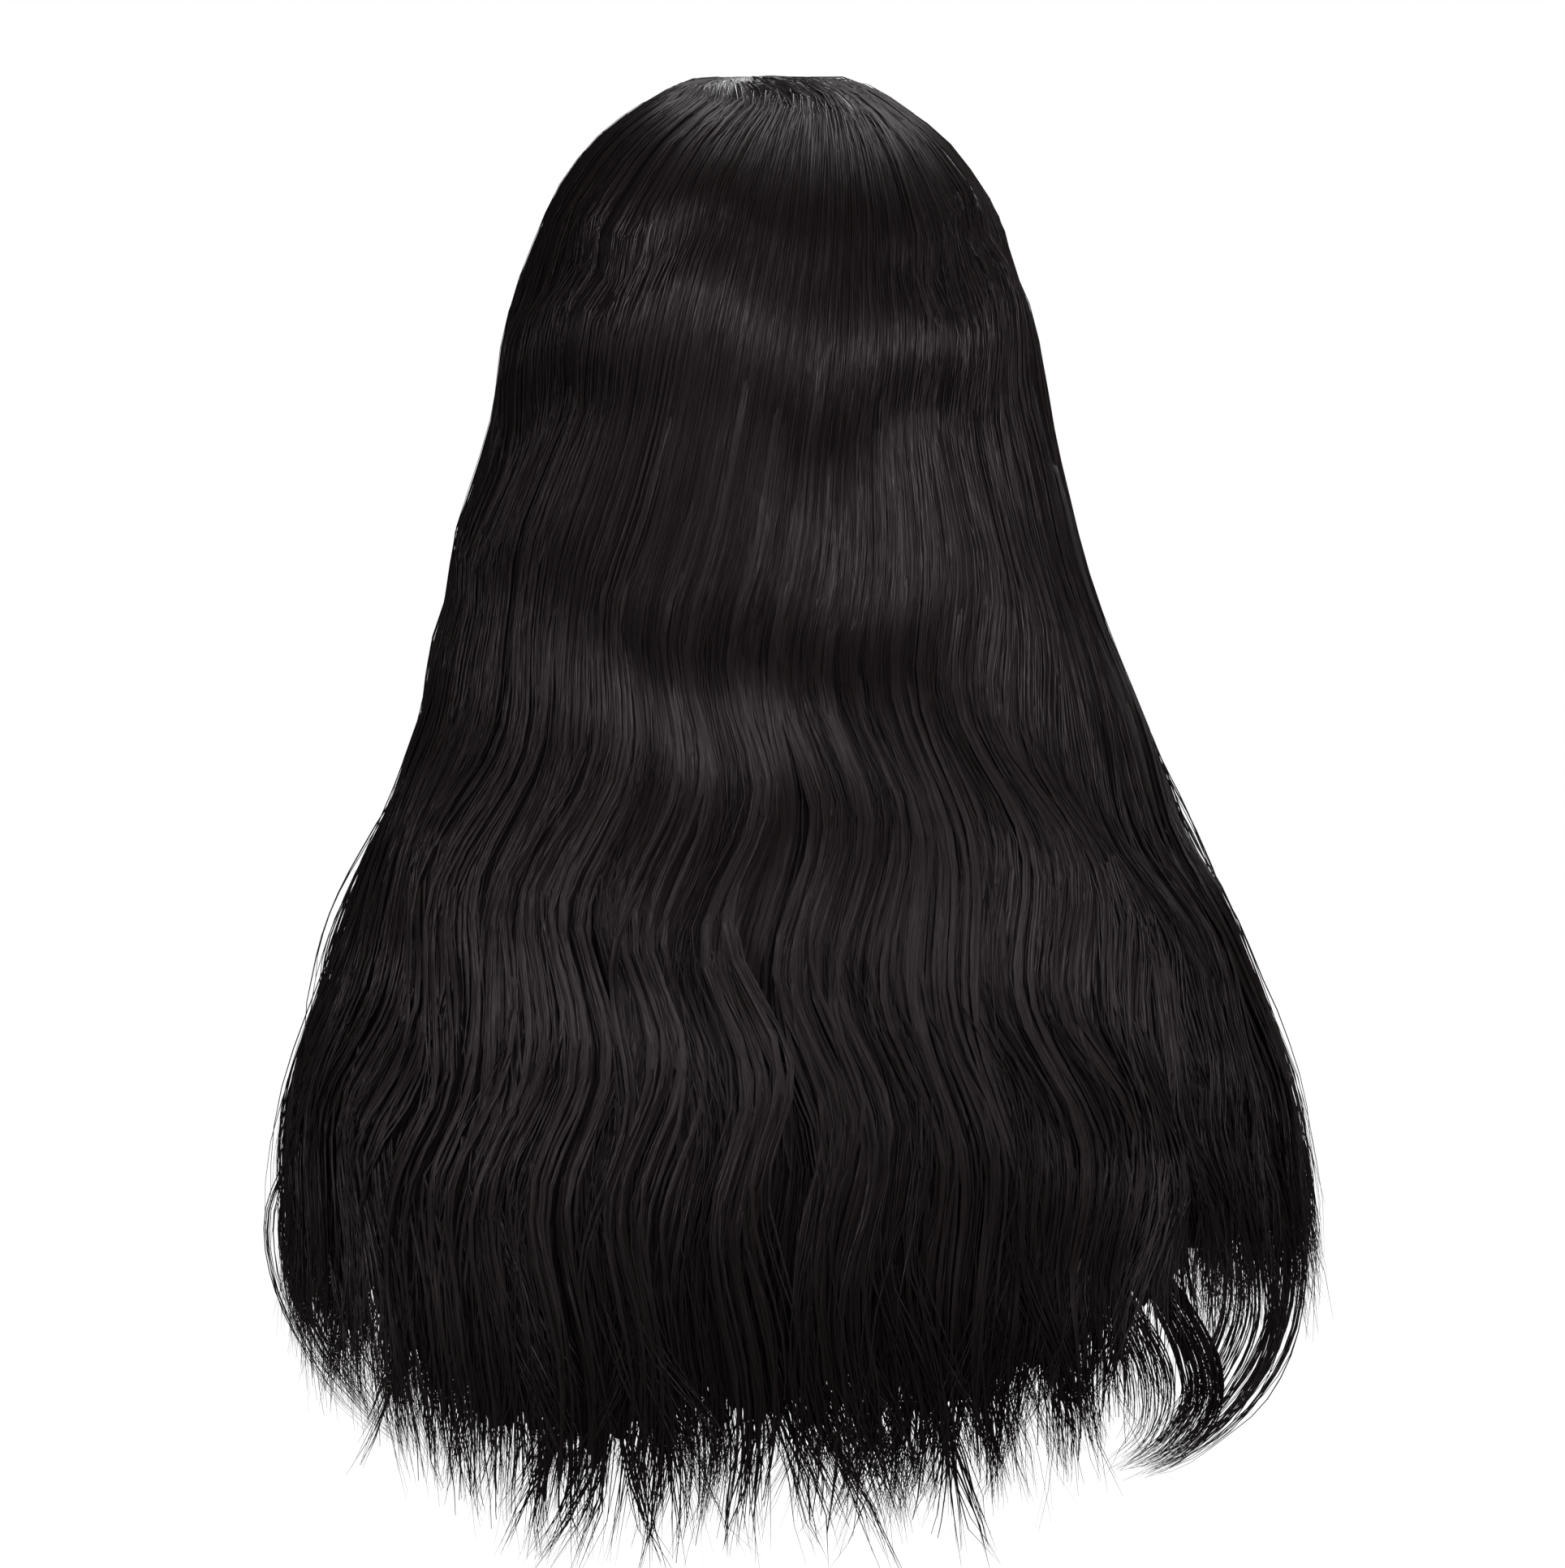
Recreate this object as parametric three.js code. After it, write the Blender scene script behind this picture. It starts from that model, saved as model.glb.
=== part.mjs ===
// A long body-wave wig of black human hair on a lace cap, in the form that it has while it is worn.
// Millimetres, +Z up. The origin is the point inside the cap's crown that sits on top of the head.
// The wearer faces +Y, so the back of the wig is towards -Y and the wearer's right is +X.
// Each section of hair is a hollow wall of wavy locks fused to a thin backing, rooted on the cap.

import * as THREE from "three";
import { ParametricGeometry } from "three/addons/geometries/ParametricGeometry.js";
import { mergeVertices } from "three/addons/utils/BufferGeometryUtils.js";

const { degToRad, radToDeg, lerp, clamp, smoothstep } = THREE.MathUtils;

// Driving dimensions
const CAP_WALL = 1.2;
const CAP_CLEARANCE = 2; // between the cap and the hair that is knotted to it
const SECTION_GAP = 1.4; // between neighbouring sections of hair
const CROWN_START = 4; // how far from the crown's centre the locks begin
const WAVE_LENGTH = 104; // of one body wave along the hair
const WAVE_STARTS = 120; // fall at which the waves begin
const WAVE_FULL = 300; // fall at which they have their full size
const WAVE_CREST = 312; // fall at which a wave at the back's centre swings furthest to the right
const WAVE_TURN = -2.6; // turns a wave's phase with the angle, so that crests lie lower further right
const SIDE_SWAY = 7; // how far a wave swings sideways
const OUT_SWELL = 3; // how far a wave swells outwards
const TIPS_START = 400; // fall below which the locks reach down to different lengths
const TIP_STEP = 17; // how much shorter every other lock is
const END_HEIGHT = 0.4; // where in the wall's thickness its roots and tips are drawn in to an edge
const MERGE_WITHIN = 1e-3;

// Facets
const CAP_COLUMNS = 36;
const CAP_ROWS = 9;
const DOME_ROWS = 6; // of hair facets down to WAVE_STARTS
const WAVE_ROWS = 17; // from there to TIPS_START
const TIP_ROWS = 6; // below it

// The hair's outer surface. fall is measured along the back, from the crown's centre to the tips,
// thickness is that of the hair, inwards from this surface, and lean is a shift to the wearer's right.
const hairSection = smoothTable("fall", [
  { fall: 0, z: 15.2, halfWidth: 0, back: 0, front: 0, thickness: 12, lean: 0 },
  { fall: 30, z: 12.0, halfWidth: 26, back: 30, front: 29, thickness: 12, lean: 0 },
  { fall: 60, z: 2.5, halfWidth: 44, back: 57, front: 54, thickness: 12, lean: 0 },
  { fall: 90, z: -13, halfWidth: 61, back: 81, front: 76, thickness: 12, lean: 0 },
  { fall: 120, z: -35, halfWidth: 74.5, back: 98, front: 90, thickness: 11, lean: 0 },
  { fall: 150, z: -62, halfWidth: 84, back: 108, front: 97, thickness: 11, lean: 0 },
  { fall: 190, z: -100, halfWidth: 93, back: 113, front: 99, thickness: 17, lean: 0 },
  { fall: 240, z: -150, halfWidth: 105, back: 113, front: 100, thickness: 25, lean: 0 },
  { fall: 300, z: -210, halfWidth: 123, back: 116, front: 104, thickness: 24, lean: 3 },
  { fall: 360, z: -270, halfWidth: 148, back: 123, front: 110, thickness: 23, lean: 5 },
  { fall: 420, z: -330, halfWidth: 169, back: 131, front: 116, thickness: 21, lean: 7 },
  { fall: 480, z: -390, halfWidth: 173, back: 134, front: 118, thickness: 18, lean: 9 },
  { fall: 560, z: -470, halfWidth: 158, back: 129, front: 112, thickness: 12, lean: 9 },
]);

// How far the longest hair falls, by angle from the back's centre
const tipFall = smoothTable("angle", [
  { angle: 0, fall: 551 },
  { angle: 30, fall: 535 },
  { angle: 60, fall: 512 },
  { angle: 90, fall: 488 },
  { angle: 150, fall: 470 },
]);

// The cap's rim: hairline at the front, tabs before the ears, a rise over each ear, and the nape
const capRim = smoothTable("angle", [
  { angle: 0, fall: 238 },
  { angle: 30, fall: 230 },
  { angle: 60, fall: 206 },
  { angle: 88, fall: 184 },
  { angle: 112, fall: 205 },
  { angle: 140, fall: 184 },
  { angle: 160, fall: 156 },
  { angle: 180, fall: 132 },
]);

// The front edge of the hair: it meets at the parting, sweeps off the forehead and frames the face
const faceEdge = smoothTable("fall", [
  { fall: 0, angle: 180 },
  { fall: 118, angle: 180 },
  { fall: 134, angle: 172 },
  { fall: 152, angle: 163 },
  { fall: 172, angle: 154 },
  { fall: 205, angle: 147 },
  { fall: 560, angle: 149 },
]);

// Sections of hair, by angle from the back's centre towards the wearer's right; Infinity is the face edge
const SECTIONS = [
  { name: "back_hair_centre", from: -19, to: 21, locks: 4 },
  { name: "back_hair_right", from: 21, to: 63, locks: 4 },
  { name: "side_hair_right", from: 63, to: 106, locks: 4 },
  { name: "front_hair_right", from: 106, to: Infinity, locks: 4 },
  { name: "back_hair_left", from: -61, to: -19, locks: 4 },
  { name: "side_hair_left", from: -104, to: -61, locks: 4 },
  { name: "front_hair_left", from: -Infinity, to: -104, locks: 4 },
];

// The lines of hair in one lock, from the valley beside it: height runs from the wall's inside (0) to its
// outside (1), and notch is how far above the lock's tip that line ends
const LOCK_PROFILE = [
  { height: 0.6, notch: 60 },
  { height: 1.0, notch: 24 },
  { height: 1.02, notch: 0 },
];

// Falls of the rows of hair facets down to TIPS_START
const BODY_FALLS = [
  ...evenSteps(CROWN_START, WAVE_STARTS, DOME_ROWS),
  ...evenSteps(WAVE_STARTS, TIPS_START, WAVE_ROWS),
];

const HAIR_COLOUR = 0x141112;
const LACE_COLOUR = 0x4a3527;

// Values from start up to, but not including, end
function evenSteps(start, end, count) {
  return Array.from({ length: count }, (_, i) => lerp(start, end, i / count));
}

// A smooth curve through the rows of a table, giving all its other columns at any value of the key
function smoothTable(key, rows) {
  const columns = Object.keys(rows[0]).filter((name) => name !== key);
  const curve = new THREE.CubicInterpolant(
    rows.map((row) => row[key]),
    rows.flatMap((row) => columns.map((name) => row[name])),
    columns.length,
  );
  return (at) => {
    const values = curve.evaluate(at);
    return Object.fromEntries(columns.map((name, i) => [name, values[i]]));
  };
}

// Outer surface without its waves
function outerPoint(angle, fall) {
  const { z, halfWidth, back, front, lean } = hairSection(fall);
  const lengthways = Math.cos(angle) > 0 ? back : front;
  return new THREE.Vector3(lean + halfWidth * Math.sin(angle), -lengthways * Math.cos(angle), z);
}

// Which way the outer surface faces: straight up at the crown's centre
function outwardAt(angle, fall) {
  if (fall <= 1) return new THREE.Vector3(0, 0, 1);
  const step = 0.01;
  const around = outerPoint(angle + step, fall).sub(outerPoint(angle - step, fall));
  const down = outerPoint(angle, fall + 1).sub(outerPoint(angle, fall - 1));
  return down.cross(around).normalize();
}

// A point of the smooth form, depth millimetres below its outer surface
function formPoint(angle, fall, depth) {
  return outerPoint(angle, fall).addScaledVector(outwardAt(angle, fall), -depth);
}

// A point of the wavy hair: height runs from the wall's inside (0) to its outside (1).
// A wave moves the whole thickness sideways together, so a section's side walls stay flat.
function hairPoint(angle, fall, height) {
  const wave = smoothstep(fall, WAVE_STARTS, WAVE_FULL);
  const phase = (2 * Math.PI * (fall - WAVE_CREST)) / WAVE_LENGTH + WAVE_TURN * angle;
  const swell = OUT_SWELL * wave * Math.sin(phase) * height;
  const outward = outwardAt(angle, fall);
  const sideways = new THREE.Vector3(-outward.y, outward.x, 0).normalize();
  const depth = hairSection(fall).thickness * (1 - height) - swell;
  return formPoint(angle, fall, depth).addScaledVector(sideways, SIDE_SWAY * wave * Math.cos(phase));
}

// The angle at a share of the way across a section, clear of the sections beside it
function angleAcross(section, share, fall) {
  const edge = Math.min(faceEdge(fall).angle, 180);
  const margin = SECTION_GAP / 2 / hairSection(fall).halfWidth;
  const from = degToRad(Math.max(section.from, -edge)) + margin;
  const to = degToRad(Math.min(section.to, edge)) - margin;
  return lerp(from, to, clamp(share, 0, 1));
}

// The closed surface of a function of (round, along), each from 0 to 1, as a named mesh.
// Its ends are drawn in to a point or an edge, so the triangles that vanish there are left out.
function closedMesh(name, surface, round, along, colour, roughness) {
  const open = new ParametricGeometry(surface, round, along);
  open.deleteAttribute("normal");
  open.deleteAttribute("uv");
  const geometry = mergeVertices(open, MERGE_WITHIN);
  const kept = [];
  for (let i = 0; i < geometry.index.count; i += 3) {
    const [a, b, c] = [0, 1, 2].map((corner) => geometry.index.getX(i + corner));
    if (a !== b && b !== c && c !== a) kept.push(a, b, c);
  }
  geometry.setIndex(kept);
  geometry.computeVertexNormals();
  const material = new THREE.MeshStandardMaterial({ color: colour, roughness, metalness: 0 });
  const mesh = new THREE.Mesh(geometry, material);
  mesh.name = name;
  return mesh;
}

// The cap is one wall: out from the crown to the rim, and back up the inside
function laceCap() {
  const rows = 2 * CAP_ROWS + 1;
  const surface = (round, along, target) => {
    const angle = (0.5 - round) * 2 * Math.PI;
    const row = Math.round(along * rows);
    const outside = row <= CAP_ROWS;
    const share = (outside ? row : rows - row) / CAP_ROWS;
    const fall = capRim(Math.abs(radToDeg(angle))).fall * share;
    const depth = hairSection(fall).thickness + CAP_CLEARANCE + (outside ? 0 : CAP_WALL);
    target.copy(formPoint(angle, fall, depth));
  };
  return closedMesh("lace_cap", surface, CAP_COLUMNS, rows, LACE_COLOUR, 0.8);
}

// A section of hair is one wall of locks: each lock is a ridge on the backing, free below its notch
function hairPanel(section) {
  const columns = section.locks * LOCK_PROFILE.length;
  const sides = 2 * (columns + 1);
  const bodyRows = BODY_FALLS.length;
  const rows = bodyRows + TIP_ROWS;
  const surface = (round, along, target) => {
    const corner = Math.round((1 - round) * sides) % sides;
    const outside = corner <= columns;
    const column = outside ? corner : sides - 1 - corner;
    const share = column / columns;
    const profile = LOCK_PROFILE[column % LOCK_PROFILE.length];
    const longest = tipFall(Math.abs(radToDeg(angleAcross(section, share, TIPS_START)))).fall;
    const whichLock = Math.floor(column / LOCK_PROFILE.length);
    const end = longest - profile.notch - (profile.notch ? 0 : (whichLock % 2) * TIP_STEP);
    const row = Math.round(along * rows);
    const fall = row < bodyRows ? BODY_FALLS[row] : lerp(TIPS_START, end, (row - bodyRows) / TIP_ROWS);
    const atEnd = row === 0 || row === rows;
    const height = atEnd ? END_HEIGHT : outside ? profile.height : 0;
    target.copy(hairPoint(angleAcross(section, share, fall), fall, height));
  };
  return closedMesh(section.name, surface, sides, rows, HAIR_COLOUR, 0.4);
}

const wig = new THREE.Group();
wig.add(laceCap());
for (const section of SECTIONS) wig.add(hairPanel(section));

export default wig;
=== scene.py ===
# A long black body-wave wig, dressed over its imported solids: strands of hair in wavy locks over an
# underlayer, and a fine lace cap. Tables are in millimetres and degrees, in the row frame.
import math
from collections import namedtuple

import bpy
import numpy as np
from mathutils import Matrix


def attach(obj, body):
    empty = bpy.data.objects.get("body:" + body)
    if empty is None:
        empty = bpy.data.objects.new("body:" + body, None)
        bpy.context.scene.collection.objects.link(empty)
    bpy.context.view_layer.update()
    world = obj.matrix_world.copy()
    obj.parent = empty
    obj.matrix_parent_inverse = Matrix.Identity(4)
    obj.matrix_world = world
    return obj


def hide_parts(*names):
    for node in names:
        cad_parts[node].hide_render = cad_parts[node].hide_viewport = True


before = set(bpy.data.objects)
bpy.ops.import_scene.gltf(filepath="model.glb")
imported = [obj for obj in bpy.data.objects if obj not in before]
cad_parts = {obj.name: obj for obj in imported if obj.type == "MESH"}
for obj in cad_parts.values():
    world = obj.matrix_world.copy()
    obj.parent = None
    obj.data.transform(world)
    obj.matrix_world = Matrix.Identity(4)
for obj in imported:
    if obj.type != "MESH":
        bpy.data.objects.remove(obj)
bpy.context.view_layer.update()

MM = 0.001
TINY = 1e-9  # stands in for no length at all, where a length is divided by


# Small helpers

def smoothstep(low, high, value):
    """0 below low, 1 above high, and a smooth rise between them."""
    share = np.clip((value - low) / (high - low), 0, 1)
    return share * share * (3 - 2 * share)


def lerp(start, end, share):
    """The value at a share of the way from start to end."""
    return start + (end - start) * share


def unit(vectors):
    """The directions of vectors, each of length 1."""
    return vectors / np.maximum(np.linalg.norm(vectors, axis=-1, keepdims=True), TINY)


def smooth_table(*rows):
    """A smooth curve through rows of (key, value, ...), as a function from keys to the value columns."""
    keys = np.array([row[0] for row in rows], float)
    values = np.array([row[1:] for row in rows], float)
    slopes = np.gradient(values, keys, axis=0)

    def at(key):
        key = np.clip(np.asarray(key, float), keys[0], keys[-1])
        low = np.clip(np.searchsorted(keys, key, side="right") - 1, 0, len(keys) - 2)
        step = (keys[low + 1] - keys[low])[..., None]
        t = (key - keys[low])[..., None] / step
        curve = (
            (1 + 2 * t) * (1 - t) ** 2 * values[low]
            + t * (1 - t) ** 2 * step * slopes[low]
            + t**2 * (3 - 2 * t) * values[low + 1]
            + t**2 * (t - 1) * step * slopes[low + 1]
        )
        return np.moveaxis(curve, -1, 0)

    return at


def add_node(tree, kind, inputs=None, **settings):
    """Adds a node. inputs maps its sockets, by name or place, to values or to sockets that feed them."""
    node = tree.nodes.new(kind)
    for name, value in settings.items():
        setattr(node, name, value)
    for key, value in (inputs or {}).items():
        if isinstance(value, bpy.types.NodeSocket):
            tree.links.new(value, node.inputs[key])
        else:
            node.inputs[key].default_value = value
    return node


def math_node(tree, operation, *values):
    return add_node(tree, "ShaderNodeMath", dict(enumerate(values)), operation=operation).outputs[0]


def add_values(mesh, key, kind, field, values):
    """Gives each point of a mesh its own value, which nodes can read under the key."""
    layer = mesh.attributes.new(key, kind, "POINT")
    layer.data.foreach_set(field, values.astype(np.float32).ravel())


# The form that the hair follows

# By fall, which runs down the back from the crown's centre: thickness is that of the hair, inwards from its
# outer surface, and lean is a shift to the wearer's right
Form = namedtuple("Form", "z half_width back front thickness lean")
HAIR_FORM = smooth_table(
    (0, 15.2, 0, 0, 0, 12, 0),
    (30, 12.0, 26, 30, 29, 12, 0),
    (60, 2.5, 44, 57, 54, 12, 0),
    (90, -13, 61, 81, 76, 12, 0),
    (120, -35, 74.5, 98, 90, 11, 0),
    (150, -62, 84, 108, 97, 11, 0),
    (190, -100, 93, 113, 99, 17, 0),
    (240, -150, 105, 113, 100, 25, 0),
    (300, -210, 123, 116, 104, 24, 3),
    (360, -270, 148, 123, 110, 23, 5),
    (420, -330, 169, 131, 116, 21, 7),
    (480, -390, 173, 134, 118, 18, 9),
    (560, -470, 158, 129, 112, 12, 9),
)

# By angle from the back's centre towards the wearer's right: the fall of the longest strands, and the fall
# down to which the hair is dense
Hem = namedtuple("Hem", "longest dense")
HEM = smooth_table(
    (-150, 474, 450),
    (-104, 490, 462),
    (-80, 505, 470),
    (-60, 522, 491),
    (-40, 538, 525),
    (-24, 547, 530),
    (-8, 543, 520),
    (6, 541, 516),
    (20, 537, 514),
    (32, 529, 506),
    (42, 509, 489),
    (54, 489, 472),
    (76, 485, 461),
    (106, 484, 462),
    (150, 474, 450),
)
HEM_LEVEL = 440.0  # the fall at which a line's angle gives its place along the hem

# Front sections run from the side to the face edge, and their roots are along the parting
Section = namedtuple("Section", "name start end is_front locks")
SECTIONS = [
    Section("back_hair_centre", -19, 21, False, 8),
    Section("back_hair_right", 21, 63, False, 8),
    Section("back_hair_left", -19, -61, False, 8),
    Section("side_hair_right", 63, 106, False, 8),
    Section("side_hair_left", -61, -104, False, 8),
    Section("front_hair_right", 106, 148, True, 7),
    Section("front_hair_left", -104, -148, True, 7),
]

# Roots: hair rises from under the outer form, out of a valley along the parting
CROWN_START = 1.0
HAIRLINE_FALL = 117
PARTING_HALF_GAP = 0.4
PARTING_ROOTS = (10, 40)  # roots pass from the crown's kind to the parting's over these falls
RootDip = namedtuple("RootDip", "depth length")
CROWN_DIP = RootDip(0.8, 20)
PARTING_DIP = RootDip(2.8, 9)

# Front hair sweeps off the parting: over how much fall, and how soon it bends
CROWN_SWEEP = 1.5
HAIRLINE_SWEEP = 88
SWEEP_POWER = 1.5

# Hair at the back leaves the crown towards the right and drifts left again as it falls
CROWN_DRIFT = 20
DRIFT_GROWS = (10, 60)
DRIFT_FADES = (90, 320)
DRIFT_REACH = math.radians(60)  # full this far round from the back's centre, and gone at the sides

# Body waves: crests lie lower further right, because the phase turns with the angle
WAVE_LENGTH = 104
SIDE_SWAY = 7.5
WAVE_CREST = 312
WAVE_TURN = -2.6
WAVES_GROW = (190, 320)
WAVES_FADE = (370, 490)
FADED_SHARE = 0.6
STRAY_GROWS = (230, 480)

# By fall, how far outwards: shallow waves over the whole back, which give the sheen its bands
SHEEN_WAVES = smooth_table(
    (60, 0.0),
    (100, 0.6),
    (122, 1.4),
    (134, -1.6),
    (144, 1.6),
    (167, 1.6),
    (186, -3.0),
    (215, -0.2),
    (243, 2.8),
    (266, -0.8),
    (300, 2.2),
    (342, -0.6),
    (358, 0.2),
    (384, -1.6),
    (402, -0.8),
    (432, -2.2),
    (450, -0.9),
    (478, -1.9),
    (505, -2.2),
    (560, 0.0),
)
BAND_SLANT = 41  # how much lower a band lies for each radian to the right
SIDE_SHEEN = 0.5  # share of a band's height that is left at the sides
SIDE_ANGLES = (0.9, 1.5)  # radians from the back's centre, over which the rest goes

# Bands come and go in patches: the mean share of their height, and how far it varies high up and low down
PATCH_MEAN = 0.8
UPPER_PATCHES = 0.4
LOWER_PATCHES = 1.0
PATCHES_GROW = (300, 400)

# Slow ripples that make waves and bands uneven: their phase is around for each radian, down for each
# millimetre of fall, and start
Ripple = namedtuple("Ripple", "size around down start")
PHASE_RIPPLES = [Ripple(0.6, 2.3, 0, 0.8), Ripple(0.35, 5.1, 0, -1.2)]
BAND_RIPPLES = [Ripple(6, 4.3, 0.021, 0), Ripple(5, 9.1, -0.017, 0)]
PATCH_RIPPLES = [Ripple(1, 3.4, 0.024, 1.0)]

# Steps over which the form's directions are measured
ANGLE_STEP = 0.01
FALL_STEP = 1


def hair_form(fall):
    return Form(*HAIR_FORM(fall))


def outer_point(angle, fall):
    """A point of the outer surface, without its waves."""
    form = hair_form(fall)
    lengthways = np.where(np.cos(angle) > 0, form.back, form.front)
    x = form.lean + form.half_width * np.sin(angle)
    return np.stack([x, -lengthways * np.cos(angle), form.z], axis=-1)


def outer_frame(angle, fall):
    """The form's outer point, its outward direction and the level direction round it."""
    around = outer_point(angle + ANGLE_STEP, fall) - outer_point(angle - ANGLE_STEP, fall)
    down = outer_point(angle, fall + FALL_STEP) - outer_point(angle, fall - FALL_STEP)
    return outer_point(angle, fall), unit(np.cross(down, around)), unit(around)


def root_fall(section, across):
    """The fall at which hair is rooted, by its share of the way across the section."""
    if section.is_front:
        return lerp(CROWN_START, HAIRLINE_FALL, across)
    return np.full(np.shape(across), CROWN_START)


def root_dip(section, across, fall):
    """How far hair lies under the outer form near its roots."""
    root = root_fall(section, across)
    at_parting = smoothstep(*PARTING_ROOTS, root)
    depth = lerp(CROWN_DIP.depth, PARTING_DIP.depth, at_parting)
    length = lerp(CROWN_DIP.length, PARTING_DIP.length, at_parting)
    return depth * (1 - smoothstep(0, 1, (fall - root) / length))


def hair_angle(section, across, fall):
    """The angle of a line of hair at each fall: off the parting, or from the crown and drifting left."""
    end = lerp(section.start, section.end, across)
    half_width = np.maximum(hair_form(fall).half_width, 1)
    if section.is_front:
        sweep_length = lerp(CROWN_SWEEP, HAIRLINE_SWEEP, np.maximum(across, 0))
        swept = np.clip(1 - (fall - root_fall(section, across)) / sweep_length, 0, 1) ** SWEEP_POWER
        parting = 180 - np.degrees(PARTING_HALF_GAP / half_width)
        return np.radians(end + (np.sign(end) * parting - end) * swept)
    end = np.radians(end)
    drift = CROWN_DRIFT * smoothstep(*DRIFT_GROWS, fall) * (1 - smoothstep(*DRIFT_FADES, fall))
    drift = drift * np.clip(np.cos(end) / math.cos(DRIFT_REACH), 0, 1)
    return np.arctan2(np.sin(end) + drift / half_width, np.cos(end))


def hem_below(section, across):
    """The hem's falls below lines of hair."""
    angle = hair_angle(section, across, np.full(np.shape(across), HEM_LEVEL))
    return Hem(*HEM(np.degrees(angle)))


def rippled(ripples, angle, fall):
    """The sum of some ripples at a place on the hair."""
    return sum(one.size * np.sin(one.around * angle + one.down * fall + one.start) for one in ripples)


def wave_sway(angle, fall, stray, swing):
    """How far body waves carry hair sideways: stray turns a lock's phase, and swing scales its sway."""
    phase = 2 * np.pi * (fall - WAVE_CREST) / WAVE_LENGTH + WAVE_TURN * angle
    phase = phase + rippled(PHASE_RIPPLES, angle, fall) + stray * smoothstep(*STRAY_GROWS, fall)
    size = smoothstep(*WAVES_GROW, fall) * (1 - FADED_SHARE * smoothstep(*WAVES_FADE, fall))
    return SIDE_SWAY * swing * size * np.cos(phase)


def sheen_swell(angle, fall):
    """How far the sheen waves lift hair outwards, in slanting bands that come and go in patches."""
    band = fall - BAND_SLANT * angle * smoothstep(*WAVES_GROW, fall)
    band = band + rippled(BAND_RIPPLES, angle, fall)
    patchy = lerp(UPPER_PATCHES, LOWER_PATCHES, smoothstep(*PATCHES_GROW, fall))
    patch = PATCH_MEAN + patchy * rippled(PATCH_RIPPLES, angle, fall)
    at_side = smoothstep(*SIDE_ANGLES, np.abs(angle))
    return SHEEN_WAVES(band)[0] * patch * lerp(1, SIDE_SHEEN, at_side)


def hair_line(section, across, fall, depth, stray=0.0, swing=1.0):
    """Points of wavy hair, depth below its outer form, with their outward and sideways directions."""
    angle = hair_angle(section, across, fall)
    point, outward, sideways = outer_frame(angle, fall)
    sway = wave_sway(angle, fall, stray, swing)
    rise = sheen_swell(angle, fall) - depth
    return point + sideways * sway[..., None] + outward * rise[..., None], outward, sideways


# Locks: the hair hangs as one sheet from the crown and parts into locks lower down

LOCKS_PART = (235, 410)
FRONT_CROWDING = 1.5
Locks = namedtuple("Locks", "even centre half_width drift stray depth shorter swing")


def section_locks(section, seed):
    """The locks of a section, with one value for each lock."""
    rng = np.random.default_rng(seed)
    count = section.locks
    even = (np.arange(count) + 0.5) / count
    # Places and widths are shares of the section, and stray turns the waves' phase, in radians
    return Locks(
        even=even,
        centre=even + rng.uniform(-0.3, 0.3, count) / count,
        half_width=rng.uniform(0.5, 0.85, count) / count,
        drift=rng.normal(0, 0.3, count) / count,
        stray=rng.normal(0, 0.65, count),
        depth=rng.uniform(-2, 3.5, count),
        shorter=rng.uniform(-4, 16, count),
        swing=rng.uniform(0.6, 1.3, count),
    )


def row_crowding(section):
    """The power that crowds points towards the roots, where front hair bends off the parting."""
    return FRONT_CROWDING if section.is_front else 1.0


def parted(fall):
    """How far the sheet of hair has parted into locks."""
    return smoothstep(*LOCKS_PART, fall)


# Guides for the strands

Guides = namedtuple("Guides", "points outward sideways half_width half_depth")

# Two layers over the underlayer. roots is a range below a section's roots, ends a range above its hem, and
# spread is how far strands lie from their guide
Layer = namedtuple("Layer", "per_lock points roots front_roots ends depths spread seed")
FINE_LAYER = Layer(6, 36, (0, 55), (0, 3), (-10, 40), (0.0, 1.3), 3.2, 300)
RIBBON_LAYER = Layer(12, 28, (150, 260), (60, 140), (-10, 45), (1.0, 2.6), 1.8, 400)
SHEET_HALF_DEPTH = 0.4  # how far strands lie under and over their guide, in the sheet and in a lock
LOCK_HALF_DEPTH = 2.2

# Locks wander, and draw in towards their ends
LOCKS_DRIFT = (330, 500)
LOCKS_DRAW_IN = (410, 530)
DRAWN_IN = 0.85
LOCK_ROUNDING = 2.5  # how much deeper a lock's edges lie than its middle
GUIDE_STRAY = 0.12  # how far the guides of one lock differ in phase

# Strands start inside the underlayer and rise out of it, apart from those that are rooted at the parting
START_DEPTH = 3
START_RISES = (0, 26)
STARTS_LOW = (0, 15)

# Some strands leave their lock and lie over the others
WANDERING_SHARE = 0.3
WANDERING_STRAY = 0.5
WANDERING_ASIDE = 7
WANDERING_GROWS = (260, 470)
WANDERING_LIFT = 1.2
LIFT_GROWS = (40, 90)


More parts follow.
